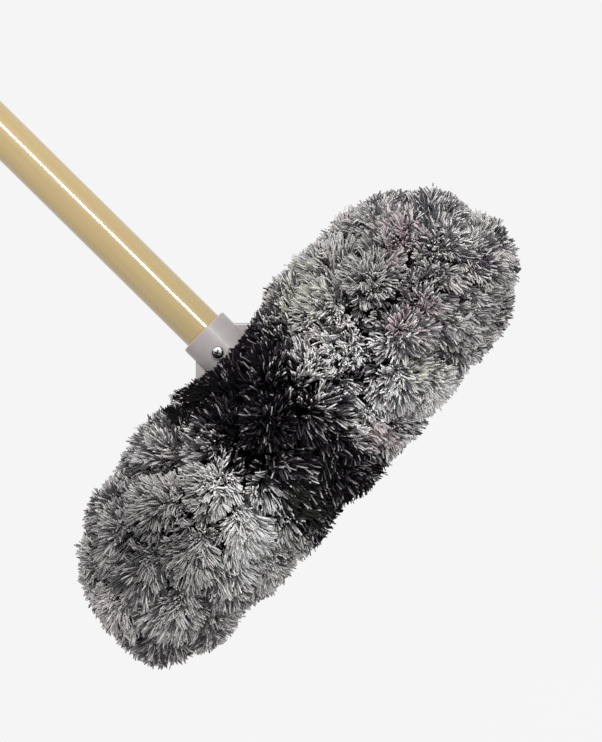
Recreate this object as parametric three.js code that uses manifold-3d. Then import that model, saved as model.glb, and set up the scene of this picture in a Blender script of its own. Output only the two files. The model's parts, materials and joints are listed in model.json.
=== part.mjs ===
// A dusting mop: a wooden pole, a plastic swivel socket and a long round head of cut yarn pile.
// The head is a sewn cover, tufted all over, that slips over a flat frame plate. The socket's cross
// tube turns on an axle held by a bracket on that plate, so the pole leans to the front or the back.
//
// Millimetres. +Z runs up the pole, +X along the head, and -Y is the side with the socket's screw.
// Heights in this file are measured from the lowest yarn. The finished group is then lowered, so that
// the origin is the middle of the hole that the mop hangs by.

import * as THREE from "three";
import { mergeVertices } from "three/addons/utils/BufferGeometryUtils.js";
import Module from "manifold-3d";

// ---------------------------------------------------------------- driving dimensions

const GAP = 0.3; // clearance between pieces that touch on the real object

const pole = { radius: 11.9, length: 1219, chamfer: 1.2 };
const head = { length: 314, height: 114, depth: 140, squareness: 5.5, lean: THREE.MathUtils.degToRad(2.7) };
const plate = { length: 216, width: 56, thickness: 4, bottom: 62 };
const pivot = { height: 84, swing: THREE.MathUtils.degToRad(50), axleRadius: 3 };
const socket = {
  radius: 14.9,
  rim: 127.6,
  seat: 97,
  wingTop: 118.8,
  wingThickness: 7,
  tubeRadius: 9,
  tubeHalfLength: 37,
};
const screw = { headRadius: 3.3, headHeight: 2, shankRadius: 1.7, shankLength: 13, height: 113.2, turn: 10 };
const cap = {
  wall: 1.6,
  grip: 32,
  shoulder: 4,
  lip: 0.5,
  tabWidth: 24,
  tabNeck: 19.2,
  tabThickness: 6,
  tabHeight: 30,
  holeRadius: 6,
};
const bracket = {
  length: 92,
  width: 40,
  thickness: 3,
  corner: 6,
  earGap: 39.3,
  earThickness: 3.7,
  earWidth: 18,
  earFoot: 30,
};
const rivet = { radius: 2, headRadius: 4, headHeight: 1.3, spacingX: 60, spacingY: 26 };
const cover = { length: 232, width: 72, thickness: 1.6, slack: 3.3, slitHalf: 50 };
const strap = { length: 126, width: 11, thickness: 1.4, offset: 27.5, snapInset: 5.6 };
const snap = { radius: 4.4, height: 1.6, dimple: 0.4 };
const band = { halfLength: 46 };

const ROUND = 64; // sides on the pole and socket
const SMALL_ROUND = 24; // sides on axles and holes
const TINY_ROUND = 16; // sides on rivets and screws
const PILE_ROUND = 36; // sides round the pile
const PILE_RINGS = 22; // rings along the pile
const CURVE = 10; // steps in each arc of a flat outline

// Heights that follow from the driving dimensions.
const plateTop = plate.bottom + plate.thickness;
const bracketBottom = plateTop + GAP;
const bracketTop = bracketBottom + bracket.thickness;
const bottomPanelTop = plate.bottom - rivet.headHeight - 2 * GAP;
const topPanelBottom = plateTop + GAP;
const topPanelTop = topPanelBottom + cover.thickness;
const strapTop = topPanelTop + GAP + strap.thickness;
const snapTop = strapTop + GAP + snap.height;
const poleBottom = socket.seat + GAP;
const poleTop = poleBottom + pole.length;
const capTop = poleTop + GAP + cap.wall * 2;
const hangHeight = capTop + cap.tabHeight - cap.tabWidth / 2;

// ---------------------------------------------------------------- solids

const wasm = await Module();
wasm.setup();

/** The closed manifold solid of a three.js geometry. */
function solidOf(geometry) {
  const bare = geometry.index ? geometry.toNonIndexed() : geometry.clone();
  bare.deleteAttribute("normal");
  bare.deleteAttribute("uv");
  const merged = mergeVertices(bare, 1e-3);
  const corners = merged.index.array;
  const kept = [];
  for (let i = 0; i < corners.length; i += 3) {
    const [a, b, c] = corners.slice(i, i + 3);
    if (a !== b && b !== c && c !== a) kept.push(a, b, c);
  }
  return new wasm.Manifold(
    new wasm.Mesh({
      numProp: 3,
      vertProperties: merged.attributes.position.array,
      triVerts: new Uint32Array(kept),
    }),
  );
}

/** A three.js geometry from a manifold solid. */
function geometryOf(solid) {
  const mesh = solid.getMesh();
  const geometry = new THREE.BufferGeometry();
  geometry.setAttribute("position", new THREE.BufferAttribute(mesh.vertProperties, 3));
  geometry.setIndex(new THREE.BufferAttribute(mesh.triVerts, 1));
  return geometry;
}

/** The first geometry with the others cut out of it. */
function cut(geometry, ...tools) {
  return geometryOf(tools.reduce((solid, tool) => solid.subtract(solidOf(tool)), solidOf(geometry)));
}

/** All the geometries as one. */
function join(geometry, ...others) {
  return geometryOf(others.reduce((solid, other) => solid.add(solidOf(other)), solidOf(geometry)));
}

/** What two geometries have in common. */
function common(a, b) {
  return geometryOf(solidOf(a).intersect(solidOf(b)));
}

/** A turned shape about Z from [radius, height] points that start and end on the axis. */
function turnedZ(points, sides) {
  const profile = points.map(([radius, height]) => new THREE.Vector2(radius, height));
  return new THREE.LatheGeometry(profile, sides).rotateX(Math.PI / 2);
}

/** A turned shape about X from [radius, x] points that start and end on the axis. */
function turnedX(points, sides) {
  return turnedZ(points, sides).rotateY(Math.PI / 2);
}

/** A cylinder along Z from one height to another. */
function cylinderZ(radius, bottom, top, sides) {
  return turnedZ([[0, bottom], [radius, bottom], [radius, top], [0, top]], sides);
}

/** A cylinder along X from one end to the other. */
function cylinderX(radius, from, to, sides) {
  return turnedX([[0, from], [radius, from], [radius, to], [0, to]], sides);
}

/** A box between two corners. */
function boxBetween(low, high) {
  const size = high.map((value, i) => value - low[i]);
  const centre = high.map((value, i) => (value + low[i]) / 2);
  return new THREE.BoxGeometry(...size).translate(...centre);
}

/** A flat outline with round ends along X. */
function stadium(length, width) {
  const radius = width / 2;
  const straight = length / 2 - radius;
  const outline = new THREE.Shape();
  outline.absarc(straight, 0, radius, -Math.PI / 2, Math.PI / 2, false);
  outline.absarc(-straight, 0, radius, Math.PI / 2, (3 * Math.PI) / 2, false);
  outline.closePath();
  return outline;
}

/** An outline in X and Y given a thickness along Z, from one height to another. */
function slab(outline, bottom, top) {
  const options = { depth: top - bottom, bevelEnabled: false, curveSegments: CURVE };
  return new THREE.ExtrudeGeometry(outline, options).translate(0, 0, bottom);
}

/** An outline whose points are (y, z) given a length along X. */
function slabX(outline, from, to) {
  const options = { depth: to - from, bevelEnabled: false, curveSegments: CURVE };
  const flat = new THREE.ExtrudeGeometry(outline, options);
  flat.rotateX(Math.PI / 2).rotateZ(Math.PI / 2);
  return flat.translate(from, 0, 0);
}

/** The two ends of the head, as the sign of X. */
const sides = { left: -1, right: 1 };

// ---------------------------------------------------------------- materials

function material(colour, roughness, metalness = 0) {
  return new THREE.MeshStandardMaterial({ color: colour, roughness, metalness });
}

const looks = {
  wood: () => material("#d6c48c", 0.25),
  plastic: () => material("#b0aaa8", 0.45),
  capPlastic: () => material("#a9a4a2", 0.5),
  steel: () => material("#d8d8d8", 0.2, 1),
  dullSteel: () => material("#9a9a98", 0.4, 1),
  board: () => material("#3b3a3c", 0.6),
  nylon: () => material("#d6d2c6", 0.5),
  canvas: () => material("#4a464c", 0.9),
  strapping: () => material("#2c2a2f", 0.85),
  marlYarn: () => material("#8f8c90", 1),
  darkYarn: () => material("#241f26", 1),
};

const poleBody = new THREE.Group();
const headBody = new THREE.Group();

function place(body, name, geometry, look) {
  const mesh = new THREE.Mesh(geometry, look());
  mesh.name = name;
  body.add(mesh);
}

// ---------------------------------------------------------------- pole, cap and socket

/** The screw's axis: a hole tool that starts outside the socket and runs into the pole. */
function screwHole(radius) {
  const depth = socket.radius + screw.headHeight;
  return placeAtScrew(cylinderZ(radius, -screw.shankLength - GAP * 2, depth, SMALL_ROUND));
}

/** Turns a shape made along +Z, with the socket's wall at 0, to point out through that wall. */
function placeAtScrew(geometry) {
  geometry.translate(0, 0, socket.radius);
  geometry.rotateX(Math.PI / 2);
  geometry.rotateZ(THREE.MathUtils.degToRad(-screw.turn));
  return geometry.translate(0, 0, screw.height);
}

function handlePole() {
  const { radius, chamfer } = pole;
  const dowel = turnedZ(
    [
      [0, poleBottom],
      [radius - chamfer, poleBottom],
      [radius, poleBottom + chamfer],
      [radius, poleTop - chamfer],
      [radius - chamfer, poleTop],
      [0, poleTop],
    ],
    ROUND,
  );
  return cut(dowel, screwHole(screw.shankRadius + GAP));
}

/** A moulded sleeve over the pole's end, with a flat tab and a hole to hang it by. */
function hangCap() {
  const bore = pole.radius + GAP;
  const outer = bore + cap.wall;
  const sleeveBottom = poleTop - cap.grip;
  const { shoulder, lip } = cap;
  const easing = shoulder * 0.3; // how near the shoulder's middle comes to a sharp corner
  const sleeve = turnedZ(
    [
      [0, poleTop + GAP],
      [bore, poleTop + GAP],
      [bore, sleeveBottom],
      [outer - lip, sleeveBottom],
      [outer, sleeveBottom + lip],
      [outer, capTop - shoulder],
      [outer - easing, capTop - easing],
      [outer - shoulder, capTop],
      [0, capTop],
    ],
    ROUND,
  );
  const half = cap.tabWidth / 2;
  const halfNeck = cap.tabNeck / 2;
  const tabRoot = capTop - cap.wall;
  const tabTop = capTop + cap.tabHeight;
  const outline = new THREE.Shape();
  outline.moveTo(-halfNeck, tabRoot);
  outline.lineTo(halfNeck, tabRoot);
  outline.lineTo(half, tabTop - half);
  outline.absarc(0, tabTop - half, half, 0, Math.PI, false);
  outline.closePath();
  const hole = new THREE.Path();
  hole.absarc(0, tabTop - half, cap.holeRadius, 0, Math.PI * 2, true);
  outline.holes.push(hole);
  const round = 1;
  const tab = new THREE.ExtrudeGeometry(outline, {
    depth: cap.tabThickness - 2 * round,
    bevelThickness: round,
    bevelSize: round,
    bevelOffset: -round,
    bevelSegments: 2,
    curveSegments: CURVE,
  });
  tab.translate(0, 0, round - cap.tabThickness / 2).rotateX(Math.PI / 2);
  return join(sleeve, tab);
}

/** The grey moulding: a collar for the pole, two wings that spread at 45 degrees, and a cross tube. */
function handleSocket() {
  const { radius, rim, seat, wingTop, tubeRadius, tubeHalfLength, wingThickness } = socket;
  const edge = 0.8;
  const easing = edge * 0.3; // how near the rim's rounded edge comes to a sharp corner
  const floor = 2.4;
  const foot = tubeRadius * 0.8;
  const collar = turnedZ(
    [
      [0, pivot.height],
      [foot, pivot.height],
      [radius, seat - floor],
      [radius, rim - edge],
      [radius - easing, rim - easing],
      [radius - edge, rim],
      [0, rim],
    ],
    ROUND,
  );
  const wingEnd = wingTop - (tubeHalfLength - radius);
  const inset = radius - 2;
  const outline = new THREE.Shape();
  outline.moveTo(-tubeHalfLength, pivot.height);
  outline.lineTo(tubeHalfLength, pivot.height);
  outline.lineTo(tubeHalfLength, wingEnd);
  outline.lineTo(inset, wingTop + radius - inset);
  outline.lineTo(-inset, wingTop + radius - inset);
  outline.lineTo(-tubeHalfLength, wingEnd);
  outline.closePath();
  const round = 1.2;
  const wings = new THREE.ExtrudeGeometry(outline, {
    depth: wingThickness - 2 * round,
    bevelThickness: round,
    bevelSize: round,
    bevelOffset: -round,
    bevelSegments: 3,
  });
  wings.translate(0, 0, round - wingThickness / 2).rotateX(Math.PI / 2);
  const tube = cylinderX(tubeRadius, -tubeHalfLength, tubeHalfLength, SMALL_ROUND);
  tube.translate(0, 0, pivot.height);
  const poleBore = turnedZ(
    [
      [0, seat],
      [pole.radius + GAP, seat],
      [pole.radius + GAP, rim - edge],
      [pole.radius + GAP + edge, rim + edge],
      [0, rim + edge],
    ],
    ROUND,
  );
  const reach = tubeHalfLength + 1;
  const axleBore = cylinderX(pivot.axleRadius + GAP, -reach, reach, SMALL_ROUND);
  axleBore.translate(0, 0, pivot.height);
  return cut(join(collar, wings, tube), poleBore, axleBore, screwHole(screw.shankRadius + GAP));
}

/** A pan-head screw with a cross recess, its head on the collar and its point in the pole. The
 *  head's profile is given in shares of its radius and height. */
function handleScrew() {
  const { headRadius, headHeight, shankRadius, shankLength } = screw;
  const under = GAP;
  const top = under + headHeight;
  const pointLength = 3;
  const turned = turnedZ(
    [
      [0, -shankLength],
      [shankRadius, pointLength - shankLength],
      [shankRadius, under],
      [headRadius, under],
      [headRadius, under + headHeight * 0.35],
      [headRadius * 0.93, under + headHeight * 0.7],
      [headRadius * 0.7, under + headHeight * 0.93],
      [headRadius * 0.35, top],
      [0, top],
    ],
    TINY_ROUND,
  );
  const slotHalfLength = headRadius * 0.58;
  const slotHalfWidth = 0.42;
  const slotFloor = top - 1.1;
  const slotTurn = THREE.MathUtils.degToRad(28);
  const slots = [
    boxBetween([-slotHalfLength, -slotHalfWidth, slotFloor], [slotHalfLength, slotHalfWidth, top + 1]),
    boxBetween([-slotHalfWidth, -slotHalfLength, slotFloor], [slotHalfWidth, slotHalfLength, top + 1]),
  ];
  const turnedSlots = slots.map((slot) => slot.rotateZ(slotTurn));
  return placeAtScrew(cut(turned, ...turnedSlots));
}

place(poleBody, "handle_pole", handlePole(), looks.wood);
place(poleBody, "hang_cap", hangCap(), looks.capPlastic);
place(poleBody, "handle_socket", handleSocket(), looks.plastic);
place(poleBody, "handle_screw", handleScrew(), looks.steel);

// ---------------------------------------------------------------- pivot

const washer = { thickness: 1.5, radius: 8, clearance: 0.4 };
const nut = { thickness: 2.6, radius: 6.5, flange: 0.9, wall: 1.2, easing: 0.4 };
const earOuter = bracket.earGap + bracket.earThickness;
const nutStart = earOuter + GAP;
const axleEnd = nutStart + nut.thickness - 1;

function pivotAxle() {
  const end = axleEnd;
  const { axleRadius } = pivot;
  const chamfer = 0.5;
  const rod = turnedX(
    [
      [0, -end],
      [axleRadius - chamfer, -end],
      [axleRadius, chamfer - end],
      [axleRadius, end - chamfer],
      [axleRadius - chamfer, end],
      [0, end],
    ],
    SMALL_ROUND,
  );
  return rod.translate(0, 0, pivot.height);
}

/** A ring on the axle from one x to another. */
function axleRing(radius, from, to) {
  const bore = pivot.axleRadius + GAP;
  const ring = turnedX([[bore, from], [radius, from], [radius, to], [bore, to], [bore, from]], SMALL_ROUND);
  return ring.translate(0, 0, pivot.height);
}

/** A domed push-on nut that closes over one end of the axle. */
function pushNut() {
  const { radius, flange, wall, easing } = nut;
  const bore = pivot.axleRadius + GAP;
  const innerEnd = axleEnd + GAP;
  const end = innerEnd + wall;
  const dome = turnedX(
    [
      [0, innerEnd],
      [bore, innerEnd],
      [bore, nutStart],
      [radius, nutStart],
      [radius, nutStart + flange],
      [bore + wall, nutStart + flange + easing],
      [bore + wall - easing, end - easing],
      [bore, end],
      [0, end],
    ],
    SMALL_ROUND,
  );
  return dome.translate(0, 0, pivot.height);
}

/** The same piece at the other end: turned half round, which keeps its faces outward. */
function toSide(geometry, side) {
  return side > 0 ? geometry : geometry.rotateZ(Math.PI);
}

/** The steel bracket: a base riveted to the frame plate and an ear at each end of the axle. */
function pivotBracket() {
  const { length, width, thickness, corner, earGap, earThickness, earWidth } = bracket;
  const halfLength = length / 2;
  const halfWidth = width / 2;
  const base = new THREE.Shape();
  base.absarc(halfLength - corner, corner - halfWidth, corner, -Math.PI / 2, 0, false);
  base.absarc(halfLength - corner, halfWidth - corner, corner, 0, Math.PI / 2, false);
  base.absarc(corner - halfLength, halfWidth - corner, corner, Math.PI / 2, Math.PI, false);
  base.absarc(corner - halfLength, corner - halfWidth, corner, Math.PI, (3 * Math.PI) / 2, false);
  base.closePath();
  const ear = new THREE.Shape();
  const earRadius = earWidth / 2;
  const earHalfFoot = bracket.earFoot / 2;
  const earBottom = bracketBottom + thickness / 2;
  ear.moveTo(-earHalfFoot, earBottom);
  ear.lineTo(earHalfFoot, earBottom);
  ear.lineTo(earRadius, pivot.height);
  ear.absarc(0, pivot.height, earRadius, 0, Math.PI, false);
  ear.closePath();
  const ears = [
    slabX(ear, earGap, earGap + earThickness),
    slabX(ear, -earGap - earThickness, -earGap),
  ];
  const axleHole = cylinderX(pivot.axleRadius + GAP, -length, length, SMALL_ROUND);
  const joined = join(slab(base, bracketBottom, bracketTop), ...ears);
  return cut(joined, axleHole.translate(0, 0, pivot.height), ...rivetHoles());
}

const halfX = rivet.spacingX / 2;
const halfY = rivet.spacingY / 2;
const rivetPlaces = [[-halfX, -halfY], [halfX, -halfY], [-halfX, halfY], [halfX, halfY]];

function rivetHoles() {
  const bore = rivet.radius + GAP;
  const hole = () => cylinderZ(bore, plate.bottom - 1, bracketTop + 1, TINY_ROUND);
  return rivetPlaces.map(([x, y]) => hole().translate(x, y, 0));
}

function bracketRivet() {
  const { radius, headRadius, headHeight } = rivet;
  const crown = headRadius * 0.7;
  const side = headHeight * 0.4;
  const low = plate.bottom - GAP;
  const high = bracketTop + GAP;
  return turnedZ(
    [
      [0, low - headHeight],
      [crown, low - headHeight],
      [headRadius, low - side],
      [headRadius, low],
      [radius, low],
      [radius, high],
      [headRadius, high],
      [headRadius, high + side],
      [crown, high + headHeight],
      [0, high + headHeight],
    ],
    TINY_ROUND,
  );
}

place(headBody, "pivot_axle", pivotAxle(), looks.dullSteel);
for (const [name, side] of Object.entries(sides)) {
  const from = socket.tubeHalfLength + washer.clearance;
  const ring = axleRing(washer.radius, from, from + washer.thickness);
  place(headBody, `pivot_washer_${name}`, toSide(ring, side), looks.nylon);
  place(headBody, `axle_push_nut_${name}`, toSide(pushNut(), side), looks.dullSteel);
}
place(headBody, "pivot_bracket", pivotBracket(), looks.dullSteel);
rivetPlaces.forEach(([x, y], i) => {
  place(headBody, `bracket_rivet_${i + 1}`, bracketRivet().translate(x, y, 0), looks.steel);
});

// ---------------------------------------------------------------- frame plate and cover

function framePlate() {
  const board = slab(stadium(plate.length, plate.width), plate.bottom, plateTop);
  return cut(board, ...rivetHoles());
}

function coverBottomPanel() {
  return slab(stadium(cover.length, cover.width), bottomPanelTop - cover.thickness, bottomPanelTop);
}

/** One of the two top panels: they leave a slit at the middle for the bracket. */
function coverTopPanel(side) {
  const whole = slab(stadium(cover.length, cover.width), topPanelBottom, topPanelTop);
  const far = cover.length;
  const half = boxBetween([cover.slitHalf, -far, 0], [far, far, pivot.height]);
  return toSide(common(whole, half), side);
}

/** The strip round the plate's edge that joins the bottom panel to the top panels. */
function coverBinding() {
  const outline = stadium(cover.length, cover.width);
  const inner = stadium(plate.length + 2 * cover.slack, plate.width + 2 * cover.slack);
  outline.holes.push(new THREE.Path(inner.getPoints(CURVE)));
  return slab(outline, bottomPanelTop + GAP, topPanelBottom - GAP);
}

const strapSides = { front: -1, back: 1 };

/** A strap that buttons the two top panels together across the slit. */
function closureStrap(side) {
  const strip = slab(stadium(strap.length, strap.width), topPanelTop + GAP, strapTop);
  return strip.translate(0, side * strap.offset, 0);
}

/** A press stud with a dimpled top; its profile is given in shares of its radius. */
function strapSnap() {
  const bottom = strapTop + GAP;
  const dimpleFloor = snapTop - snap.dimple;
  return turnedZ(
    [
      [0, bottom],
      [snap.radius, bottom],
      [snap.radius, bottom + snap.height * 0.5],
      [snap.radius * 0.75, snapTop],
      [snap.radius * 0.35, snapTop],
      [snap.radius * 0.25, dimpleFloor],
      [0, dimpleFloor],
    ],
    TINY_ROUND,
  );
}

place(headBody, "frame_plate", framePlate(), looks.board);
place(headBody, "cover_bottom_panel", coverBottomPanel(), looks.canvas);
place(headBody, "cover_binding", coverBinding(), looks.canvas);
for (const [name, side] of Object.entries(sides)) {
  place(headBody, `cover_top_panel_${name}`, coverTopPanel(side), looks.canvas);
}
for (const [row, y] of Object.entries(strapSides)) {
  place(headBody, `closure_strap_${row}`, closureStrap(y), looks.strapping);
  for (const [name, x] of Object.entries(sides)) {
    const across = x * (strap.length / 2 - strap.snapInset);
    const stud = strapSnap().translate(across, y * strap.offset, 0);
    place(headBody, `strap_snap_${row}_${name}`, stud, looks.steel);
  }
}

// ---------------------------------------------------------------- yarn pile

/** The pile's outer surface: a long rounded form, full along its middle and round at its ends. */
function pileEnvelope() {
  const halfLength = head.length / 2;
  const points = [];
  for (let i = 0; i <= PILE_RINGS; i++) {
    const x = -halfLength * Math.cos((Math.PI * i) / PILE_RINGS);
    const share = Math.abs(x / halfLength) ** head.squareness;
    points.push([(head.height / 2) * Math.sqrt(Math.max(0, 1 - share)), x]);
  }
  const round = turnedX(points, PILE_ROUND);
  const leaning = round.scale(1, head.depth / head.height, 1).rotateY(-head.lean);
  leaning.computeBoundingBox();
  return leaning.translate(0, 0, -leaning.boundingBox.min.z);
}

/** The room inside the pile for the plate in its cover, and for the bracket at the middle. */
function pileRoom() {
  const margin = 2;
  const length = cover.length + 2 * margin;
  const width = cover.width + 2 * margin;
  const core = slab(stadium(length, width), bottomPanelTop - cover.thickness - margin, snapTop + margin);
  const ends = nutStart + nut.thickness + margin * 2;
  const bracketRoom = boxBetween(
    [-ends, -bracket.width / 2, bracketTop],
    [ends, bracket.width / 2, pivot.height + bracket.earWidth / 2 + margin],
  );
  return [core, bracketRoom];
}

/** The room that the socket and pole sweep as the pole leans as far as it goes each way. */
function swingRoom() {
  const margin = 2.2;
  const spareSwing = THREE.MathUtils.degToRad(2);
  const reach = socket.radius + margin;
  const angle = pivot.swing + spareSwing;
  const low = pivot.height - socket.tubeRadius;
  const high = head.height * 1.3;
  const cornerY = reach * Math.cos(angle);
  const cornerZ = pivot.height - reach * Math.sin(angle);
  const lineY = (z) => cornerY + (z - cornerZ) * Math.tan(angle);
  const fan = new THREE.Shape();
  fan.moveTo(-lineY(low), low);
  fan.lineTo(lineY(low), low);
  fan.lineTo(lineY(high), high);
  fan.lineTo(-lineY(high), high);
  fan.closePath();
  const collarSweep = slabX(fan, -reach, reach);
  const wingRadius = socket.wingTop - pivot.height + margin;
  const wingReach = socket.tubeHalfLength + 2 * margin;
  const tubeRoom = socket.tubeRadius + 3 * margin;
  const wingSweep = turnedX(
    [
      [0, -wingReach],
      [tubeRoom, -wingReach],
      [wingRadius, -reach],
      [wingRadius, reach],
      [tubeRoom, wingReach],
      [0, wingReach],
    ],
    SMALL_ROUND,
  );
  return [collarSweep, wingSweep.translate(0, 0, pivot.height)];
}

/** The pile inside a box, with the room for the core and the swing cut from it. */
function pilePiece(low, high) {
  return cut(common(pileEnvelope(), boxBetween(low, high)), ...pileRoom(), ...swingRoom());
}

const farX = head.length;
const farY = head.depth;
const farZ = head.height * 2;
const seam = plate.bottom + plate.thickness / 2; // the level where bottom and top pile meet
const halfGap = GAP / 2;
const underneath = -1; // just below the lowest yarn
const bandEnd = band.halfLength - halfGap;
const lobeStart = band.halfLength + halfGap;

const pilePieces = {
  pile_bottom_left: [[-farX, -farY, underneath], [-lobeStart, farY, seam - halfGap], looks.marlYarn],
  pile_bottom_centre: [[-bandEnd, -farY, underneath], [bandEnd, farY, seam - halfGap], looks.darkYarn],
  pile_bottom_right: [[lobeStart, -farY, underneath], [farX, farY, seam - halfGap], looks.marlYarn],
  pile_top_left: [[-farX, -farY, seam + halfGap], [-lobeStart, farY, farZ], looks.marlYarn],
  pile_top_front: [[-bandEnd, -farY, seam + halfGap], [bandEnd, -halfGap, farZ], looks.darkYarn],
  pile_top_back: [[-bandEnd, halfGap, seam + halfGap], [bandEnd, farY, farZ], looks.darkYarn],
  pile_top_right: [[lobeStart, -farY, seam + halfGap], [farX, farY, farZ], looks.marlYarn],
};

for (const [name, [low, high, look]] of Object.entries(pilePieces)) {
  place(headBody, name, pilePiece(low, high), look);
}

// ---------------------------------------------------------------- the whole mop

const duster = new THREE.Group();
duster.add(poleBody, headBody);
duster.position.z = -hangHeight;

export default duster;
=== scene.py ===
"""Looks for the dusting mop: a lacquered pole, a grey plastic socket and a long head of cut yarn.

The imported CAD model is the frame. Its hard parts stay and get materials. Its seven pile solids are
replaced by real yarn: thousands of tapered strands, rooted on the cover inside the head and gathered
in tufts whose tips spread to the head's outer form.
"""

import json
import math

import bpy
import numpy as np
from mathutils import Matrix, Vector


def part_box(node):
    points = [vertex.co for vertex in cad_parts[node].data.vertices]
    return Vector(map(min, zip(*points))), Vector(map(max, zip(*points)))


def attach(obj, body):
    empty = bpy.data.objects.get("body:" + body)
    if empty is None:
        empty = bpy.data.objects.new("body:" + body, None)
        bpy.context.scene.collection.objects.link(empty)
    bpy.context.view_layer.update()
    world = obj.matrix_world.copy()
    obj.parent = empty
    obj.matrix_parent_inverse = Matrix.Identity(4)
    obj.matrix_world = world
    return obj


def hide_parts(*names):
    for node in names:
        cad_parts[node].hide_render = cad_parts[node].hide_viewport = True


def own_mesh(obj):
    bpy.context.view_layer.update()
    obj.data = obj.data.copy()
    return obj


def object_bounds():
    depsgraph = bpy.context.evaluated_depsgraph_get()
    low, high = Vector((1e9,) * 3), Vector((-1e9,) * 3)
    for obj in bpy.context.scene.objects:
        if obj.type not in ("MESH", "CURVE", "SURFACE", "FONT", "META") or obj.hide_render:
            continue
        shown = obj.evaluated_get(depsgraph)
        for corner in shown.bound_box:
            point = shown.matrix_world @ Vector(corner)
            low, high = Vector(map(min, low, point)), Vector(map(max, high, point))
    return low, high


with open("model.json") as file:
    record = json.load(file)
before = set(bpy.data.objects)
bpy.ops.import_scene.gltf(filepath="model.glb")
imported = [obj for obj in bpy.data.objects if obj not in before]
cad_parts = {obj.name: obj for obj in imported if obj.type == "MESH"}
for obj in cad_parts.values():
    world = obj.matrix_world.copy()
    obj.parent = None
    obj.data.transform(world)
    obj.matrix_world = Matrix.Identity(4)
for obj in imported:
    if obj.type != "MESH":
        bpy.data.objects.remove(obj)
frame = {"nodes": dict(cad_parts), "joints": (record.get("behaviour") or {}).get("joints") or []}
cad_low, cad_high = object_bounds()

MM = 0.001
rng = np.random.default_rng(41)

# ---------------------------------------------------------------- places taken from the frame

ground = cad_low.z  # the level of the lowest yarn
half_length = cad_high.x  # half of the head along X, then its depth along Y and its height
half_depth = cad_high.y
half_height = (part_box("pile_top_left")[1].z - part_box("pile_bottom_left")[0].z) / 2
seam_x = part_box("pile_top_right")[0].x  # where the dark middle band's solids end
socket_low, socket_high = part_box("handle_socket")
collar_radius = socket_high.y
rim = socket_high.z  # the level of the collar's upper edge
wing_reach = socket_high.x
plate_low, plate_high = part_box("frame_plate")
cover_low, cover_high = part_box("cover_binding")
bracket_low, bracket_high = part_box("pivot_bracket")
tilt = frame["joints"][0]
pivot = Vector(tilt["pos_m"])
swing = math.radians(tilt["range_deg"][1])

# Inner sizes of the socket that its box does not give.
wings_start = rim - 8.8 * MM  # the level where the wings leave the collar
wing_half = 3.5 * MM  # half a wing's thickness
tube_radius = 9 * MM  # the cross tube that the wings run into

# ---------------------------------------------------------------- small helpers

STUDIO_GAIN = 1.38  # how much brighter than its own colour the studio light shows a surface


def linear(red, green, blue):
    """A display colour of 0 to 255 per channel as linear light."""
    values = np.array([red, green, blue]) / 255
    return np.where(values <= 0.04045, values / 12.92, ((values + 0.055) / 1.055) ** 2.4)


def seen(red, green, blue):
    """The surface colour that the studio light shows as that display colour."""
    return linear(red, green, blue) / STUDIO_GAIN


def unit(vectors):
    """The vectors at length 1."""
    return vectors / np.maximum(np.linalg.norm(vectors, axis=-1, keepdims=True), 1e-9)


def dot(a, b):
    """The products of the vectors, one by one."""
    return (a * b).sum(-1)


def smooth_step(low, high, value):
    """0 at low and 1 at high, with a soft start and end. Low may be the larger of the two."""
    share = np.clip((value - low) / (high - low), 0, 1)
    return share * share * (3 - 2 * share)


class Tree:
    """A material's node tree, with short calls to add and join nodes."""

    def __init__(self, name, **shader):
        self.material = bpy.data.materials.new(name)
        self.material.use_nodes = True
        self.nodes = self.material.node_tree.nodes
        self.links = self.material.node_tree.links
        self.shader = self.nodes["Principled BSDF"]
        self.set(self.shader, shader)

    @staticmethod
    def set(node, values):
        for name, value in values.items():
            node.inputs[name.replace("_", " ")].default_value = value

    def add(self, kind, inputs=None, **settings):
        """A node of that kind. An input given as a socket is joined, and any other value is set."""
        node = self.nodes.new("ShaderNode" + kind)
        for name, value in settings.items():
            setattr(node, name, value)
        for name, value in (inputs or {}).items():
            if isinstance(value, bpy.types.NodeSocket):
                self.links.new(value, node.inputs[name])
            else:
                node.inputs[name].default_value = value
        return node

    def join(self, source, name):
        """Joins a socket to an input of the shader."""
        self.links.new(source, self.shader.inputs[name])

    def places(self, scale=(1, 1, 1)):
        """The piece's own coordinates, in the row frame, stretched by scale."""
        coordinates = self.add("TexCoord").outputs["Object"]
        return self.add("Mapping", {"Vector": coordinates, "Scale": scale}).outputs["Vector"]

    def noise(self, vector, scale, detail=3.0, roughness=0.55):
        """A cloudy value round 0.5, with scale clouds to the unit of the vector."""
        inputs = {"Vector": vector, "Scale": scale, "Detail": detail, "Roughness": roughness}
        return self.add("TexNoise", inputs).outputs["Fac"]

    def ramp(self, factor, *stops):
        """Colours by factor: each stop is (place, linear colour)."""
        node = self.add("ValToRGB", {"Fac": factor})
        elements = node.color_ramp.elements
        while len(elements) < len(stops):
            elements.new(0.5)
        for element, (place, colour) in zip(elements, stops):
            element.position = place
            element.color = (*colour, 1)
        return node.outputs["Color"]

    def range(self, factor, low, high):
        """The factor's 0 to 1 as low to high."""
        inputs = {"Value": factor, "To Min": low, "To Max": high}
        return self.add("MapRange", inputs).outputs["Result"]

    def bump(self, height, distance, strength=1.0):
        """Raises the surface by the height's value, where 1 is distance metres."""
        inputs = {"Height": height, "Distance": distance, "Strength": strength}
        self.join(self.add("Bump", inputs).outputs["Normal"], "Normal")


def tone(colour, factor):
    """The colour made darker or lighter."""
    return tuple(float(min(1, c * factor)) for c in colour)


# ---------------------------------------------------------------- materials of the hard parts


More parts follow.
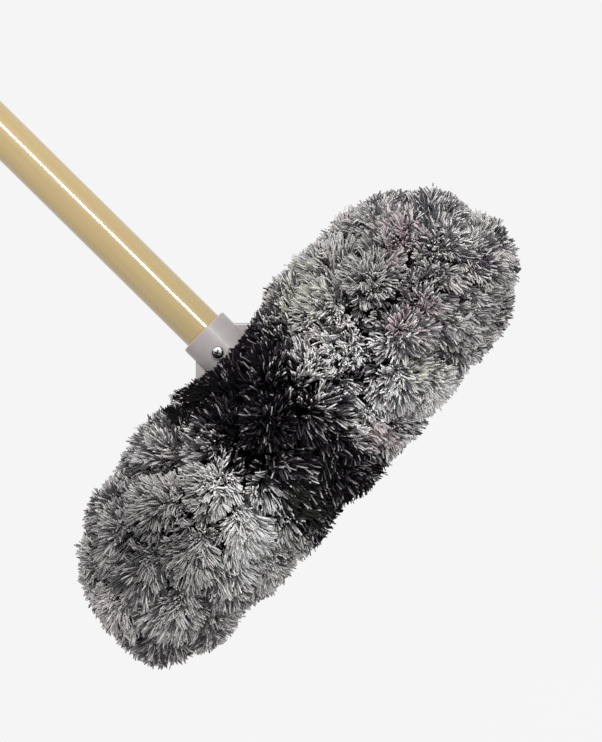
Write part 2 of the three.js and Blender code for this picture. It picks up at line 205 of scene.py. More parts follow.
def lacquered_wood():
    """Pale straight-grained wood under clear gloss."""
    tree = Tree("lacquered_wood", Coat_Weight=1.0, Coat_Roughness=0.035, Coat_IOR=1.5)
    base = seen(189, 164, 108)
    fine_grain = (1, 1, 0.018)  # the wood's figure is drawn out along the pole
    broad_grain = (1, 1, 0.05)
    streaks = tree.noise(tree.places(fine_grain), 420, detail=4)
    broad = tree.noise(tree.places(broad_grain), 60, detail=2)
    mixed = tree.add("Math", {0: streaks, 1: broad, 2: 0.25}, operation="MULTIPLY_ADD")
    colours = tree.ramp(
        mixed.outputs["Value"],
        (0.32, tone(base, 0.86)),
        (0.5, tone(base, 1.0)),
        (0.68, tone(base, 1.08)),
    )
    tree.join(colours, "Base Color")
    tree.join(tree.range(streaks, 0.36, 0.5), "Roughness")
    tree.bump(streaks, 0.04 * MM, 0.5)
    return tree.material


def moulded_plastic(name, colour, roughness, grain=0.03 * MM):
    """Plastic with a faint mottle, uneven gloss and the fine grain of its mould."""
    tree = Tree(name)
    cloudy = tree.noise(tree.places(), 90, detail=3)
    fine = tree.noise(tree.places(), 1500, detail=2)
    tree.join(tree.ramp(cloudy, (0.3, tone(colour, 0.94)), (0.7, tone(colour, 1.05))), "Base Color")
    tree.join(tree.range(cloudy, roughness - 0.06, roughness + 0.08), "Roughness")
    tree.bump(fine, grain, 0.6)
    return tree.material


def steel(name, colour, roughness, stretch=(1, 1, 1)):
    """Metal with fine rolled or turned marks."""
    tree = Tree(name, Metallic=1.0)
    marks = tree.noise(tree.places(stretch), 900, detail=4)
    stains = tree.noise(tree.places(), 120, detail=3)
    tree.join(tree.ramp(stains, (0.35, tone(colour, 0.82)), (0.65, colour)), "Base Color")
    tree.join(tree.range(marks, roughness * 0.7, roughness * 1.5), "Roughness")
    tree.bump(marks, 0.01 * MM, 0.5)
    return tree.material


def screw_with_painted_shade():
    """Bright steel with painted shade dark in the recess, a painted dark reflection round the rim, and more
    painted shade towards the pile.
    """
    tree = Tree("screw_bright", Metallic=1.0)
    low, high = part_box("handle_screw")
    recess_depth = 1.1 * MM
    place = tree.add("TexCoord").outputs["Object"]
    parts = tree.add("SeparateXYZ", {"Vector": place}).outputs
    # Painted shade and painted reflection: the deeper a point lies in the recess or round the rim, the
    # darker it is, and the lower on the head, towards the pile, the darker; random patches come on top.
    inward = {"Value": parts["Y"], "From Min": low.y, "From Max": low.y + recess_depth}
    upward = {"Value": parts["Z"], "From Min": low.z, "From Max": high.z, "To Min": 0.6, "To Max": -0.25}
    patches = tree.range(tree.noise(place, 480, detail=1), -0.9, 0.9)
    painted_shade_and_patches = tree.add("MapRange", inward).outputs["Result"]
    for more in (tree.add("MapRange", upward).outputs["Result"], patches):
        painted_shade_and_patches = tree.add("Math", {0: painted_shade_and_patches, 1: more}, operation="ADD").outputs["Value"]
    bright = linear(238, 238, 240)
    tree.join(tree.ramp(painted_shade_and_patches, (0.3, bright), (0.62, tone(bright, 0.03))), "Base Color")
    marks = tree.noise(tree.places(), 1600, detail=2)
    tree.join(tree.range(marks, 0.12, 0.4), "Roughness")
    tree.bump(marks, 0.02 * MM, 0.5)
    return tree.material


def woven(name, colour, thread):
    """Cloth whose threads run along X and Y, thread metres apart."""
    tree = Tree(name, Roughness=0.9, Sheen_Weight=0.25)
    waves = {"Scale": 0.16 / thread, "Distortion": 0.6}
    along = tree.add("TexWave", {"Vector": tree.places(), **waves})
    across = tree.add("TexWave", {"Vector": tree.places(), **waves}, bands_direction="Y")
    crossed = {0: along.outputs["Fac"], 1: across.outputs["Fac"]}
    weave = tree.add("Math", crossed, operation="MULTIPLY").outputs["Value"]
    lint = tree.noise(tree.places(), 300, detail=3)
    shade = tree.add("Math", {0: weave, 1: lint, 2: 0.1}, operation="MULTIPLY_ADD").outputs["Value"]
    tree.join(tree.ramp(shade, (0.0, tone(colour, 0.6)), (0.7, tone(colour, 1.3))), "Base Color")
    tree.bump(weave, 0.3 * thread, 0.8)
    return tree.material


def dress(nodes, material):
    """Gives CAD nodes their material."""
    for name in nodes:
        mesh = frame["nodes"][name].data
        mesh.materials.clear()
        mesh.materials.append(material)


def nodes_with(*words):
    """The names of the CAD nodes that have any of the words in them."""
    return [name for name in frame["nodes"] if any(word in name for word in words)]


dress(["handle_pole"], lacquered_wood())
dress(["handle_socket"], moulded_plastic("socket_grey", seen(178, 171, 171), 0.33))
dress(["hang_cap"], moulded_plastic("cap_grey", seen(176, 170, 170), 0.42))
dress(["frame_plate"], moulded_plastic("plate_black", linear(58, 57, 60), 0.5))
dress(nodes_with("washer"), moulded_plastic("washer_nylon", linear(214, 210, 198), 0.4))
dress(["handle_screw"], screw_with_painted_shade())
dress(nodes_with("snap"), steel("snap_nickel", linear(205, 203, 196), 0.24))
fasteners = nodes_with("axle_push", "pivot_axle", "rivet")
dress(fasteners, steel("axle_zinc", linear(190, 192, 192), 0.3))
dress(["pivot_bracket"], steel("bracket_zinc", linear(176, 178, 178), 0.34, stretch=(0.1, 1, 1)))
# The cover canvas is made near black as painted shade: where it shows through gaps in the pile, it stands
# for the shadow deep in the yarn.
dress(nodes_with("cover_"), woven("cover_canvas", linear(40, 37, 42), 1.1 * MM))
dress(nodes_with("closure_strap"), woven("strap_webbing", linear(42, 40, 45), 1.6 * MM))

SHARP_EDGE = math.radians(28)

for name in nodes_with("handle_", "hang_cap", "axle", "rivet", "snap", "washer"):
    mesh = frame["nodes"][name].data
    mesh.shade_smooth()
    mesh.set_sharp_from_angle(angle=SHARP_EDGE)

# ---------------------------------------------------------------- the head's outer form and its core

FORM_POWER = 5.5  # how square the head's outline is before it rounds off at the ends
MID_HEIGHT = 59.5 * MM  # the form's centre line above the ground
LEAN = 0.045  # rise of the centre line towards +X
CORE_POWER = 4  # how square the cover's outline is
DROOP = 12 * MM  # how far the yarn falls at both ends
DROOP_POWER = 5
SPINE = 0.66 * half_length  # how far the head's middle line runs to each side
SLOPE_STEP = 0.5 * MM  # slopes are measured this far to both sides

core_half = Vector(((cover_high.x - cover_low.x) / 2, (cover_high.y - cover_low.y) / 2, 6 * MM))
core_height = (plate_low.z + plate_high.z) / 2


def centre_height(x):
    """The level of the form's centre line."""
    return ground + MID_HEIGHT + LEAN * x - DROOP * np.abs(x / half_length) ** DROOP_POWER


def form(points):
    """1 on the head's outer form, less inside it."""
    x, y, z = points.T
    end = np.abs(x / half_length) ** FORM_POWER
    return end + (y / half_depth) ** 2 + ((z - centre_height(x)) / half_height) ** 2


def core(points):
    """1 on the surface that the yarn is rooted on: the cover, with rounded edges."""
    x, y, z = points.T
    return (x / core_half.x) ** CORE_POWER + (y / core_half.y) ** 2 + ((z - core_height) / core_half.z) ** 2


def reach(surface, start, through):
    """Where the lines from start through other points meet a surface, found by halving."""
    low = np.zeros(len(start))
    high = np.full(len(start), 8.0)
    halvings = 34
    for _ in range(halvings):
        middle = (low + high) / 2
        inside = surface(start + (through - start) * middle[:, None]) < 1
        low = np.where(inside, middle, low)
        high = np.where(inside, high, middle)
    return start + (through - start) * low[:, None]


def spine(points, share=1.0):
    """The nearest points on the head's centre line, pulled to the middle by share."""
    x = np.clip(points[:, 0], -SPINE, SPINE) * share
    return np.stack([x, np.zeros_like(x), centre_height(x)], 1)


def slope(surface, points):
    """How fast the surface's value grows along each axis."""
    steps = SLOPE_STEP * np.eye(3)
    rise = np.stack([surface(points + step) - surface(points - step) for step in steps], 1)
    return rise / (2 * SLOPE_STEP)


# ---------------------------------------------------------------- tufts, locks and strands

TUFTS = 88
LOCKS = 8200
LOW_SHARE = 0.4  # the share of locks that stand short and upright under the others
STRANDS_PER_LOCK = 9
TUFT_RADIUS = 25 * MM
LOCK_RADIUS = 2.6 * MM
TUFT_UNEVENNESS = 0.2
LOCK_UNEVENNESS = 0.45
FORM_TRIES = 800000  # random points, of which those near the form are kept

# Places that the yarn of the front and the back lies away from: x along the head and height above the
# ground, in millimetres.
FRONT_PARTINGS = [(85, 88), (77, 45), (135, 73), (-53, 64), (-10, 68)]
BACK_PARTINGS = [(-96, 80), (-40, 52), (24, 70), (92, 58)]
PARTING_REACH = 30 * MM  # the yarn lies flattest this far from a parting

FLOW = 0.95  # how much the yarn lies away from the partings
STRAY = 0.28  # how much each lock points its own way
RISE = 0.7  # how much of its lean an upright lock loses

CROWN = 1.015  # how far a tuft's middle stands, as a share of the way out to the form
CROWN_DROP = 0.12  # how much less its rim stands out
LOW_DROP = 0.15  # how much less the low locks stand out
PINCH = 0.66  # how far apart a tuft's roots are, as a share of its tips
PLATE_BAND = 13 * MM  # near the plate's level the roots are as far apart as the tips
ROOT_PULL = 0.8  # how far out along the head the roots are, as a share of their tips
FLARE = 45  # how fast strands lean out with their distance in metres from the lock's middle
ROOT_HANDLE = 0.42  # how much of the strand's length its root direction holds
TIP_HANDLE = 0.32

RINGS = np.array([0, 0.3, 0.52, 0.7, 0.84, 0.93, 1.0])  # places of the rings along a strand
SIDES = 3
BLUNT = 0.49 * MM  # strand radius near its cut end


def points_on_form(tries):
    """Points spread evenly over the head's outer form."""
    skin = 1.0 * MM
    box = np.array([half_length, half_depth, half_height + DROOP + 5 * MM])
    spread = rng.uniform(-1, 1, (tries, 3)) * box + [0, 0, ground + MID_HEIGHT]
    depth = (form(spread) - 1) / np.linalg.norm(slope(form, spread), axis=1)
    near = spread[np.abs(depth) < skin]
    return reach(form, spine(near), near)


def partings():
    """The points on the form that big areas of yarn lie away from."""
    front = [(x * MM, -half_depth, ground + z * MM) for x, z in FRONT_PARTINGS]
    back = [(x * MM, half_depth, ground + z * MM) for x, z in BACK_PARTINGS]
    places = np.array(front + back)
    return reach(form, spine(places), places)


def evenly(spread, start, number, unevenness):
    """Adds points of the spread to the starting ones, each far from all those before it.

    At unevenness 0 they are as evenly spaced as can be, and above it some come closer.
    """
    chosen = list(start)
    weight = rng.uniform(1 - unevenness, 1, len(spread))
    gap = np.min([np.linalg.norm(spread - c, axis=1) for c in chosen], axis=0)
    while len(chosen) < number:
        chosen.append(spread[np.argmax(gap * weight)])
        gap = np.minimum(gap, np.sqrt(((spread - chosen[-1]) ** 2).sum(1)))
    return np.array(chosen)


def away_from(middle, points, outward):
    """The offset of each point from its middle, along the form."""
    offset = points - middle
    return offset - dot(offset, outward)[:, None] * outward


def perpendiculars(direction):
    """Two unit vectors square to each direction and to each other."""
    helper = np.where(np.abs(direction[:, 2:3]) < 0.8, [[0.0, 0.0, 1.0]], [[1.0, 0.0, 0.0]])
    first = unit(np.cross(direction, helper))
    return first, np.cross(direction, first)


def lock_layout():
    """The tufts' middles, then for each lock its tuft, its place on the form, how far out in the tuft
    it is, how upright it is, and the way that its yarn points."""
    spread = points_on_form(FORM_TRIES)
    parted = partings()
    tufts = evenly(spread, parted, TUFTS, TUFT_UNEVENNESS)
    place = evenly(spread, spread[:1], LOCKS, LOCK_UNEVENNESS)
    gaps = np.linalg.norm(place[:, None] - tufts[None], axis=2)
    gaps = gaps + rng.normal(0, 2.5 * MM, (LOCKS, TUFTS))
    tuft = np.argmin(gaps, axis=1)
    outward = unit(slope(form, place))
    offset = away_from(tufts[tuft], place, outward)
    rho = np.linalg.norm(offset, axis=1) / TUFT_RADIUS
    low = np.arange(LOCKS) > (1 - LOW_SHARE) * LOCKS
    upright = np.where(low, rng.uniform(0.2, 1, LOCKS), 0)
    lean = 1 - RISE * upright
    lay = rng.uniform(0.8, 1.6, TUFTS)[tuft] * lean
    splay = unit(offset) * (lay * rho**0.8)[:, None]

    from_partings = np.linalg.norm(place[:, None] - parted[None], axis=2)
    nearest = parted[np.argmin(from_partings, axis=1)]
    away = away_from(nearest, place, outward)
    share = np.minimum(1, from_partings.min(axis=1) / PARTING_REACH) * np.abs(outward[:, 1])
    flow = unit(away) * (FLOW * share * lean)[:, None]
    stray = rng.normal(0, STRAY, (LOCKS, 3))
    way = unit(outward + splay + flow + stray)
    return tufts, tuft, place, rho, upright, way


tufts, tuft_of_lock, lock_place, lock_rho, lock_upright, lock_way = lock_layout()
lock_of = np.repeat(np.arange(LOCKS), STRANDS_PER_LOCK)
count = len(lock_of)


def strand_lines():
    """The ring centres of every strand, as an array of strand, ring and x y z."""
    middle = tufts[tuft_of_lock[lock_of]]
    way = lock_way[lock_of]
    upright = lock_upright[lock_of]
    beside = offset_in_lock(way)
    target = lock_place[lock_of] + beside
    tip = keep_off_collar(strand_tips(target, upright))

    level = np.exp(-(((target[:, 2:] - core_height) / PLATE_BAND) ** 2))
    apart = np.where(upright[:, None] > 0, 1, PINCH + (1 - PINCH) * level)
    base = middle + apart * (target - middle)
    inside = spine(base, ROOT_PULL) * [1, 1, 0] + [0, 0, core_height]
    root = keep_off_bracket(reach(core, inside, base), tip)

    end_way = unit(way + FLARE * beside + rng.normal(0, 0.07, (count, 3)))
    start_way = unit(unit(base - root) + 0.3 * unit(slope(core, root)))
    length = np.linalg.norm(tip - root, axis=1)[:, None]
    first = root + ROOT_HANDLE * length * start_way
    second = tip - TIP_HANDLE * length * end_way
    t = RINGS[None, :, None]
    line = (
        (1 - t) ** 3 * root[:, None]
        + 3 * (1 - t) ** 2 * t * first[:, None]
        + 3 * (1 - t) * t**2 * second[:, None]
        + t**3 * tip[:, None]
    )
    return keep_off_socket(crimped(line, end_way))


def offset_in_lock(way):
    """Each strand's place beside the middle of its lock, square to the lock's way."""
    across, along = perpendiculars(way)
    turn = rng.uniform(0, 2 * math.pi, count)
    share = np.sqrt(rng.uniform(0, 1, count))
    spread = LOCK_RADIUS * share * rng.gamma(6, 1 / 6, LOCKS)[lock_of]
    return spread[:, None] * (np.cos(turn)[:, None] * across + np.sin(turn)[:, None] * along)


def strand_tips(target, upright):
    """Tips near the form: each tuft domed, the low locks shorter, and no two strands quite alike."""
    start = spine(target)
    edge = reach(form, start, target)
    uneven = rng.normal(0, 0.016, LOCKS)[lock_of] + rng.normal(0, 0.012, count)
    dome = CROWN - CROWN_DROP * np.minimum(lock_rho[lock_of], 1.2) ** 2 - LOW_DROP * upright + uneven
    return start + (edge - start) * dome[:, None]


def crimped(line, way):
    """Adds each strand's own slow wave, which grows towards its loose end."""
    a, b = perpendiculars(way)
    turns = rng.uniform(0.6, 1.6, (count, 1, 1))
    phase = rng.uniform(0, 2 * math.pi, (count, 2, 1, 1))
    size = rng.gamma(3.0, 0.38 * MM, (count, 1, 1))
    t = RINGS[None, :, None]
    wave = 2 * math.pi * turns * t
    sway = np.sin(wave + phase[:, 0]) * a[:, None] + np.sin(wave + phase[:, 1]) * b[:, None]
    return line + size * t**1.3 * sway


def keep_off_collar(tip):
    """Lowers tips in front of and behind the collar, where the pile stops short of its screw."""
    below_rim = 15 * MM
    dip = 5.5 * MM  # how much lower right by the collar
    no_limit = 40 * MM
    off = np.abs(tip[:, 0]) / collar_radius
    near = smooth_step(2.3, 0.6, off)
    beside = smooth_step(3.4, 2.2, off)
    top = rim - below_rim - dip * near + (1 - beside) * no_limit
    low = np.minimum(tip[:, 2], top + rng.normal(0, 1.2 * MM, len(tip)))
    return np.stack([tip[:, 0], tip[:, 1], low], 1)


def keep_off_bracket(root, tip):
    """Moves roots off the bracket's slit to the cover's front or back edge."""
    over = (np.abs(root[:, 0]) < bracket_high.x) & (root[:, 2] > core_height)
    side = np.where(tip[:, 1] < 0, -1.0, 1.0)
    edge = rng.uniform(0.72, 0.97, len(root)) * core_half.y
    y = np.where(over & (np.abs(root[:, 1]) < edge), side * edge, root[:, 1])
    return np.stack([root[:, 0], y, root[:, 2]], 1)


def keep_off_socket(line):
    """Pushes strands out of the cross tube, the wings and the collar."""
    room = 1.2 * MM
    past_tube = 8 * MM
    above_tube = pivot.z + 4 * MM
    x, y, z = (line[..., i].copy() for i in range(3))
    side = np.where(line[:, -1:, 1] < 0, -1.0, 1.0) * np.ones_like(y)

    tube = tube_radius + room
    away = np.hypot(y, z - pivot.z)
    inside = (np.abs(x) < wing_reach + past_tube) & (away < tube)
    away = np.maximum(away, 0.001 * MM)
    y = np.where(inside, side * np.abs(y) * tube / away, y)
    z = np.where(inside, pivot.z + (z - pivot.z) * tube / away, z)

    wing = np.clip(wings_start + collar_radius - z, 0, wing_reach)
    inside = (np.abs(x) < wing) & (np.abs(y) < wing_half + room) & (z > pivot.z)
    y = np.where(inside, side * (wing_half + room), y)

    collar = collar_radius + room
    inside = (np.hypot(x, y) < collar) & (z > above_tube)
    y = np.where(inside, side * np.sqrt(np.maximum(collar**2 - x**2, room**2)), y)
    return np.stack([x, y, z], -1)


lines = strand_lines()
tips = lines[:, -1]

# ---------------------------------------------------------------- yarn colours

BLACK = linear(18, 15, 20)
CHARCOAL = linear(64, 60, 66)
GREY = linear(152, 148, 149)
PALE = linear(216, 211, 209)

# Tinted places on the front. Each has its x, its height above the ground and its radius in millimetres,
# its colour, and the share of strands that take it at the middle.
TINTS = [
    (118, 94, 9, linear(196, 170, 180), 0.5),
    (110, 84, 8, linear(196, 168, 178), 0.5),
    (93, 51, 10, linear(192, 166, 176), 0.5),
    (76, 54, 8, linear(192, 166, 176), 0.5),
    (29, 16, 9, linear(190, 168, 174), 0.45),
    (58, 106, 13, linear(212, 212, 195), 0.45),
    (47, 104, 11, linear(212, 212, 196), 0.45),
    (72, 21, 12, linear(212, 210, 194), 0.5),
    (-48, 29, 15, linear(236, 236, 234), 0.8),
    (-72, 22, 14, linear(236, 236, 234), 0.7),
    (133, 88, 9, linear(40, 44, 54), 0.85),
    (137, 45, 8, linear(58, 44, 62), 0.8),
    (-28, 109, 9, linear(24, 22, 24), 0.95),
    (-43, 109, 9, linear(24, 22, 24), 0.95),
    (153, 48, 6, linear(40, 38, 44), 0.8),
    (131, 13, 6, linear(40, 38, 44), 0.8),
    (-29, 18, 14, linear(48, 50, 46), 0.9),
]

# Broad lighter and darker places on the front: x, height and radius as above, and a factor for the colour.
# They are partly the yarn's own tone and partly painted light and shade: lighter where gaps in the pile
# fall dark, and darker where the pile's clumps are in shadow.
SHADES = [
    (-100, 68, 36, 0.38),
    (46, 56, 25, 1.5),
    (75, 14, 34, 1.35),
    (40, 26, 22, 1.35),
    (-46, 58, 13, 1.6),
    (-60, 28, 27, 1.3),
    (-16, 30, 24, 1.5),
    (86, 92, 28, 0.68),
]


def in_band(points):
    """True in the dark band round the head's middle, false in the pale lobes, with a ragged edge."""
    ragged = 3.5 * MM
    height = (points[:, 2] - ground) / (2 * half_height)
    left_edge = -41 * MM + 9 * MM * height**2
    right_edge = 20 * MM - 7 * MM * height + 13 * MM * height**2
    off = rng.normal(0, ragged, len(points)) + rng.normal(0, ragged, LOCKS)[lock_of]
    x = points[:, 0] + off
    return (x > left_edge) & (x < right_edge)


def by_pick(pick, limits, kinds):
    """Each strand's kind of colour: the first whose limit is above its pick, or else the last."""
    return np.array(kinds)[np.searchsorted(limits, pick, side="right")]


def nearness(x, height, radius):
    """1 at a place on the front given in millimetres, falling off softly, and 0 on the back."""
    off = np.hypot(tips[:, 0] - x * MM, tips[:, 2] - ground - height * MM) / (radius * MM)
    return np.exp(-(off**2)) * (tips[:, 1] < 0)


def strand_colours():
    """One linear colour for each strand."""
    lock_tone = rng.normal(0, 0.24, LOCKS)[lock_of]
    tuft_tone = rng.normal(0, 0.17, TUFTS)[tuft_of_lock[lock_of]]
    pick = rng.uniform(0, 1, count) + (lock_tone + tuft_tone)
    marl = by_pick(pick, (0.18, 0.42), (CHARCOAL, GREY, PALE))
    paler_below = 0.11 * smooth_step(75, 35, (tips[:, 2] - ground) / MM)
    pick = rng.uniform(0, 1, count) + paler_below
    dark = by_pick(pick, (0.74, 0.93), (BLACK, CHARCOAL, GREY))
    colour = np.where(in_band(tips)[:, None], dark, marl)
    for x, height, radius, tint, strength in TINTS:
        touched = rng.uniform(0, 1, count) < strength * nearness(x, height, radius)
        brightness = rng.uniform(0.6, 1.1, count)[:, None]
        colour = np.where(touched[:, None], tint * brightness, colour)
    # Painted light and shade, together with the yarn's own tone, over the broad places listed in SHADES.
    for x, height, radius, factor in SHADES:
        colour = colour * (1 + (factor - 1) * nearness(x, height, radius))[:, None]
    warmth = rng.normal(0, 0.02, (count, 1)) * [1, 0.2, -1]
    brightness = np.exp(rng.normal(0, 0.16, (count, 1)))
    return np.clip(colour * brightness * (1 + warmth), 0.003, 0.9)


colours = strand_colours()

# ---------------------------------------------------------------- strand meshes


def yarn_material(name, sheen, specular):
    """Matt spun yarn: its strand's colour, flecked along its length, with the twist of its plies."""
    gloss = {"Roughness": 0.9, "Specular_IOR_Level": specular}
    tree = Tree(name, Sheen_Weight=sheen, Sheen_Roughness=0.5, **gloss)
    base = tree.add("Attribute", attribute_name="yarn_colour").outputs["Color"]
    along = tree.add("UVMap", uv_map="yarn").outputs["UV"]
    drawn_out = tree.add("Mapping", {"Vector": along, "Scale": (1, 0.35, 1)}).outputs["Vector"]
    shade = tree.range(tree.noise(drawn_out, 1.0), 0.3, 1.85)
    tinted = tree.add("VectorMath", {0: base, "Scale": shade}, operation="SCALE")
    tree.join(tinted.outputs["Vector"], "Base Color")
    twist = {"Vector": along, "Scale": 0.9, "Distortion": 1.2}
    plies = tree.add("TexWave", twist, bands_direction="DIAGONAL")
    tree.bump(plies.outputs["Fac"], 0.25 * MM, 0.8)
    return tree.material


def strand_mesh(name, chosen, material):
    """One mesh of the chosen strands: three-sided, blunt at the cut end, closed at both ends."""
    line = lines[chosen]
    number = len(line)
    vertices = strand_vertices(line)
    quads, caps = strand_faces()
    first_vertex = (np.arange(number) * len(RINGS) * SIDES)[:, None, None]
    quad_corners = (first_vertex + quads[None]).reshape(number, -1)
    cap_corners = (first_vertex + caps[None]).reshape(number, -1)
    corners = np.concatenate([quad_corners, cap_corners], 1).ravel()
    sizes = np.tile([4] * len(quads) + [3] * len(caps), number)

    mesh = bpy.data.meshes.new(name)
    mesh.vertices.add(len(vertices))
    mesh.vertices.foreach_set("co", vertices.astype(np.float32).ravel())
    mesh.loops.add(len(corners))
    mesh.loops.foreach_set("vertex_index", corners.astype(np.int32))
    mesh.polygons.add(len(sizes))
    starts = np.concatenate([[0], np.cumsum(sizes)[:-1]])
    mesh.polygons.foreach_set("loop_start", starts.astype(np.int32))
    mesh.update(calc_edges=True)
    mesh.validate()

    colour_strands(mesh, chosen)
    strand_maps(mesh, line, len(quads))
    mesh.materials.append(material)
    mesh.shade_smooth()
    made = bpy.data.objects.new(name, mesh)
    bpy.context.scene.collection.objects.link(made)
    return made


def strand_vertices(line):
    """The corners of every ring of every strand."""
    way = unit(np.gradient(line, axis=1))
    helper = unit(rng.normal(size=(len(line), 1, 3)))
    first = unit(np.cross(way, helper))
    second = np.cross(way, first)
    thickness = np.interp(RINGS, [0, 0.3, 0.9, 1], [0.6, 0.85, 1.0, 0.8]) * BLUNT
    radius = thickness[None, :, None] * rng.normal(1, 0.14, (len(line), 1, 1)).clip(0.6, 1.4)
    angles = np.arange(SIDES) * 2 * math.pi / SIDES
    corners = [line + radius * (math.cos(a) * first + math.sin(a) * second) for a in angles]
    return np.stack(corners, 2).reshape(-1, 3)


def strand_faces():
    """The corner numbers of one strand's side faces and of the faces that close its two ends."""
    ring = np.arange(len(RINGS) - 1)[:, None] * SIDES
    side = np.arange(SIDES)[None, :]
    after = (side + 1) % SIDES
    quads = np.stack([ring + side, ring + after, ring + SIDES + after, ring + SIDES + side], -1)
    last_ring = (len(RINGS) - 1) * SIDES
    caps = np.array([[0, 2, 1], [last_ring, last_ring + 1, last_ring + 2]])
    return quads.reshape(-1, 4), caps


def colour_strands(mesh, chosen):
    """Stores each strand's colour, with painted shade that darkens it towards its root, deep in the pile,
    and a little painted light at its tip.
    """
    shade = np.interp(RINGS, [0, 0.45, 0.8, 1], [0.35, 0.6, 0.95, 1.08])
    tinted = colours[chosen][:, None, None, :] * shade[None, :, None, None] * np.ones((1, 1, SIDES, 1))
    attribute = mesh.attributes.new("yarn_colour", "FLOAT_COLOR", "POINT")
    rgba = np.concatenate([tinted, np.ones_like(tinted[..., :1])], -1)
    attribute.data.foreach_set("color", rgba.astype(np.float32).ravel())


def strand_maps(mesh, line, quads):
    """Two maps: yarn runs round and along each strand in millimetres, OFBake gives each a cell."""
    number = len(line)
    columns = math.ceil(math.sqrt(number))
    cell = 1 / columns
    column, row = np.arange(number) % columns, np.arange(number) // columns
    side = np.arange(quads) % SIDES
    ring = np.arange(quads) // SIDES
    around = np.stack([side, side + 1, side + 1, side], 1) / SIDES
    level = np.stack([ring, ring, ring + 1, ring + 1], 1)

    margin = 0.08
    body = 0.8  # the share of a cell's height that the side faces take, below the two end faces
    cap_corner = np.array([[0.1, 0.0], [0.3, 0.0], [0.2, 0.07]])
    caps = np.stack([cap_corner + [0.0, 0.9], cap_corner + [0.5, 0.9]])
    u = margin + around * (1 - 2 * margin)
    v = margin + level / (len(RINGS) - 1) * body
    inner = np.concatenate([np.stack([u, v], -1).reshape(-1, 2), caps.reshape(-1, 2)])
    corner = np.stack([column, row], 1)[:, None] * cell
    bake = (corner + inner[None] * cell).reshape(-1, 2)

    steps = np.linalg.norm(np.diff(line, axis=1), axis=2)
    travelled = np.concatenate([np.zeros((number, 1)), np.cumsum(steps, 1)], 1) / MM
    start = rng.uniform(0, 400, (number, 1, 2))
    girth = 4  # millimetres of map round a strand
    round_strand = np.broadcast_to(around.ravel() * girth, (number, around.size))
    along = np.stack([round_strand, travelled[:, level.ravel()]], -1)
    cap_across = np.tile(caps[..., 0].ravel(), (number, 1))
    ends = np.stack([cap_across, np.repeat(travelled[:, [0, -1]], 3, axis=1)], -1)
    yarn = (start + np.concatenate([along, ends], 1)).reshape(-1, 2)

    for name, places in (("OFBake", bake), ("yarn", yarn)):
        layer = mesh.uv_layers.new(name=name)
        layer.uv.foreach_set("vector", places.astype(np.float32).ravel())


def in_swing():
    """True for strands in the room that the socket sweeps as the head tilts."""
    margin = 3.5 * MM
    room = collar_radius + margin
    across = np.abs(lines[..., 0])
    height = lines[..., 2] - pivot.z
    sway = np.abs(lines[..., 1])
    collar_sweep = (across < room) & (sway * math.cos(swing) - height * math.sin(swing) < room)
    wing = wings_start - pivot.z + collar_radius + margin - across
    wing_sweep = (across < wing_reach + margin) & (np.hypot(lines[..., 1], height) < wing)
    above = lines[..., 2] > bracket_low.z + 3 * MM
    return ((collar_sweep | wing_sweep) & above).any(1)


upper = tips[:, 2] > centre_height(tips[:, 0])
left, right = tips[:, 0] < -seam_x, tips[:, 0] > seam_x
outer = np.abs(tips[:, 0]) > (seam_x + half_length) / 2
centre = ~(left | right)
fan = in_swing() & centre & upper
front = tips[:, 1] < 0
FACES = (("front", front), ("back", ~front))

marl_yarn = yarn_material("marl_yarn", 0.3, 0.2)
dark_yarn = yarn_material("dark_yarn", 0.0, 0.08)


def strand_groups():
    """Each group of strands away from the socket: name, members, material, the solid it replaces."""
    groups = []
    for end, at_end in (("left", tips[:, 0] < 0), ("right", tips[:, 0] >= 0)):
        members = ~upper & centre & at_end
        groups.append((f"yarn_bottom_centre_{end}", members, dark_yarn, "pile_bottom_centre"))
    for end, at_end in (("left", left), ("right", right)):
        for level, on_level in (("bottom", ~upper), ("top", upper)):
            members = on_level & at_end
            node = f"pile_{level}_{end}"
            groups.append((f"yarn_{level}_{end}", members & ~outer, marl_yarn, node))
            groups.append((f"yarn_{level}_{end}_end", members & outer, marl_yarn, node))
    return groups


pieces = []
for name, members, material, node in strand_groups():
    for side, facing in FACES:
        piece = strand_mesh(f"{name}_{side}", members & facing, material)
        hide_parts(node)
        pieces.append((piece, material))
for side, facing in FACES:
    piece = strand_mesh(f"yarn_top_centre_{side}", upper & centre & ~fan & facing, dark_yarn)
    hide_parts(f"pile_top_{side}")
    pieces.append((piece, dark_yarn))
    lying = strand_mesh(f"yarn_by_socket_{side}", fan & facing, dark_yarn)
    pieces.append((lying, dark_yarn))

for piece, material in pieces:
    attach(piece, "head")
    if "by_socket" in piece.name:
        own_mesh(piece)

# ---------------------------------------------------------------- stage, light and camera

BACKDROP = float(linear(245, 245, 245)[0])
FLOOR_DROP = 0.5  # the mop hangs this far above the floor
FLOOR_SIZE = 60
SUN_POWER = 1.5
SUN_WIDTH = math.radians(12)
SUN_FROM = Vector((0.405, -0.796, 0.45)).normalized()  # towards the light
STRIP_AWAY = 1.5
STRIP_WIDTH = 0.15
STRIP_HEIGHT = 0.7
STRIP_BRIGHTNESS = 3.5
STRIP_SPREAD = math.radians(60)
VIEW_ROLL = math.radians(45.4)
VIEW_HEIGHT = 410.7 * MM  # how much the picture takes in along its longer side, at the pole
VIEW_MIDDLE = Vector((22.2 * MM, 0, ground + 73.6 * MM))
LENS = 150
SENSOR = 36


def floor():
    """A wide floor of matt paper that looks as bright as the backdrop."""
    bpy.ops.mesh.primitive_grid_add(x_subdivisions=4, y_subdivisions=4, size=FLOOR_SIZE)
    ground_plane = bpy.context.active_object
    ground_plane.name = "floor"
    ground_plane.location = (0, 0, ground - FLOOR_DROP)
    light_on_it = BACKDROP + SUN_POWER * SUN_FROM.z / math.pi
    paper = (BACKDROP / light_on_it,) * 3 + (1,)
    tree = Tree("floor_paper", Base_Color=paper, Roughness=1.0, Specular_IOR_Level=0.0)
    ground_plane.data.materials.append(tree.material)


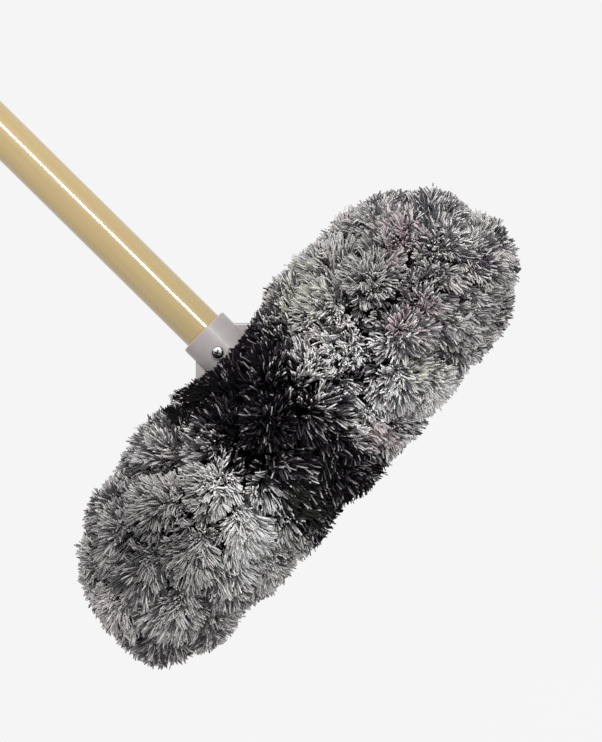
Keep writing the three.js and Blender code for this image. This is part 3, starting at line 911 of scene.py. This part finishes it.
def hang_lamp(light, towards, place=(0, 0, 0)):
    """Adds a lamp at a place. Its light comes from the given direction."""
    lamp = bpy.data.objects.new(light.name, light)
    lamp.location = place
    lamp.rotation_mode = "QUATERNION"
    lamp.rotation_quaternion = (-towards).to_track_quat("-Z", "Y")
    bpy.context.scene.collection.objects.link(lamp)
    return lamp


def sun_lamp():
    """The soft main light, from the front, the right and above."""
    sun = bpy.data.lights.new("key", "SUN")
    sun.energy = SUN_POWER
    sun.angle = SUN_WIDTH
    hang_lamp(sun, SUN_FROM)


def strip_lamp():
    """A narrow upright lamp square to the pole: it draws the thin bright line along the lacquer."""
    strip = bpy.data.lights.new("strip", "AREA")
    strip.shape = "RECTANGLE"
    strip.size = STRIP_WIDTH
    strip.size_y = STRIP_HEIGHT
    strip.spread = STRIP_SPREAD
    strip.energy = STRIP_BRIGHTNESS * math.pi * STRIP_WIDTH * STRIP_HEIGHT
    towards = Vector((SUN_FROM.x, SUN_FROM.y, 0)).normalized()
    place = towards * STRIP_AWAY + Vector((0, 0, rim + STRIP_HEIGHT / 2))
    hang_lamp(strip, towards, place).visible_camera = False


def backdrop():
    """An even pale world all round."""
    world = bpy.data.worlds.new("studio")
    world.use_nodes = True
    background = world.node_tree.nodes["Background"]
    background.inputs["Color"].default_value = (1, 1, 1, 1)
    background.inputs["Strength"].default_value = BACKDROP
    bpy.context.scene.world = world


def camera():
    """Looks along +Y at the socket's corner of the head, rolled so that the pole runs up and left."""
    data = bpy.data.cameras.new("camera")
    data.lens = LENS
    data.sensor_width = SENSOR
    data.clip_end = 100
    made = bpy.data.objects.new("camera", data)
    right_way = Vector((math.cos(VIEW_ROLL), 0, -math.sin(VIEW_ROLL)))
    up_way = Vector((math.sin(VIEW_ROLL), 0, math.cos(VIEW_ROLL)))
    back_way = right_way.cross(up_way)
    turn = Matrix((right_way, up_way, back_way)).transposed().to_4x4()
    place = VIEW_MIDDLE + back_way * (VIEW_HEIGHT * LENS / SENSOR)
    made.matrix_world = Matrix.Translation(place) @ turn
    bpy.context.scene.collection.objects.link(made)
    bpy.context.scene.camera = made


floor()
backdrop()
sun_lamp()
strip_lamp()
camera()
bpy.context.scene.view_settings.view_transform = "Standard"
